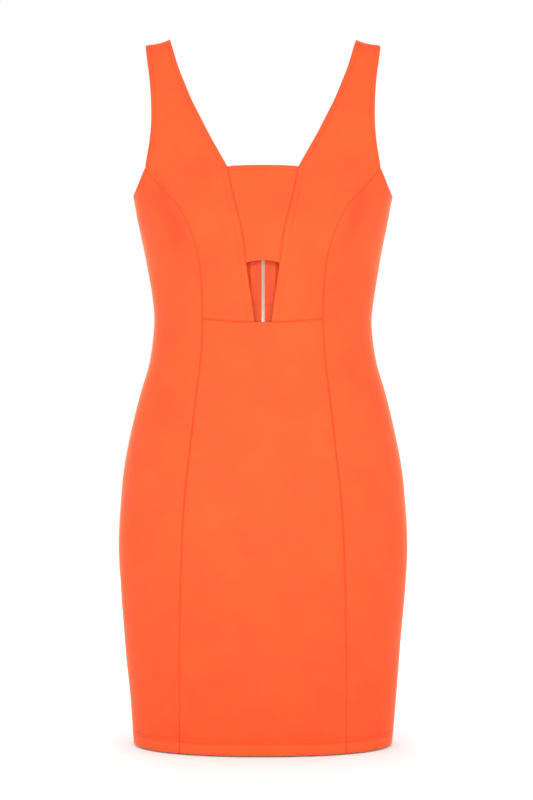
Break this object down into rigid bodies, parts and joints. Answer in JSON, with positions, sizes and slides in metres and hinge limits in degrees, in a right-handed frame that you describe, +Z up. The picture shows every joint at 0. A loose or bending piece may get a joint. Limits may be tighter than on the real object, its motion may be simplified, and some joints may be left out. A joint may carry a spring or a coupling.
{
  "type": "bodycon dress",
  "caption": "Sleeveless fitted above-knee dress with a deep V neckline, an inset front panel over a tapered cut-out and an exposed back zip, held open in its worn shape.",
  "frame": {"origin": "midway between the two straps, at the height of the shoulder line that carries the dress", "axes": "+Z up towards the shoulders, -Y out of the front, +X to the right as seen from the front"},
  "size_m": [0.3448, 0.2302, 0.8423],
  "materials": {
    "orange_double_knit": "smooth matt double knit with a faint sheen",
    "zip_tape": "woven polyester tape",
    "zip_metal": "polished nickel plate"
  },
  "bodies": {
    "dress": {"front_inset_panel": "orange_double_knit", "front_bodice_left": "orange_double_knit", "front_bodice_right": "orange_double_knit", "side_front_left": "orange_double_knit", "side_front_right": "orange_double_knit", "front_skirt_centre": "orange_double_knit", "back_bodice_left": "orange_double_knit", "back_bodice_right": "orange_double_knit", "back_skirt_left": "orange_double_knit", "back_skirt_right": "orange_double_knit", "zip_tape_left": "zip_tape", "zip_tape_right": "zip_tape", "zip_chain": "zip_metal", "zip_slider": "zip_metal"},
    "zip_pull": {"zip_pull": "zip_metal"}
  },
  "joints": [
    {"name": "pull_swing", "type": "hinge", "parent": "dress", "child": "zip_pull", "pos_m": [0, 0.088, -0.16061], "axis": [1, 0, 0], "range_deg": [0, 170]}
  ]
}
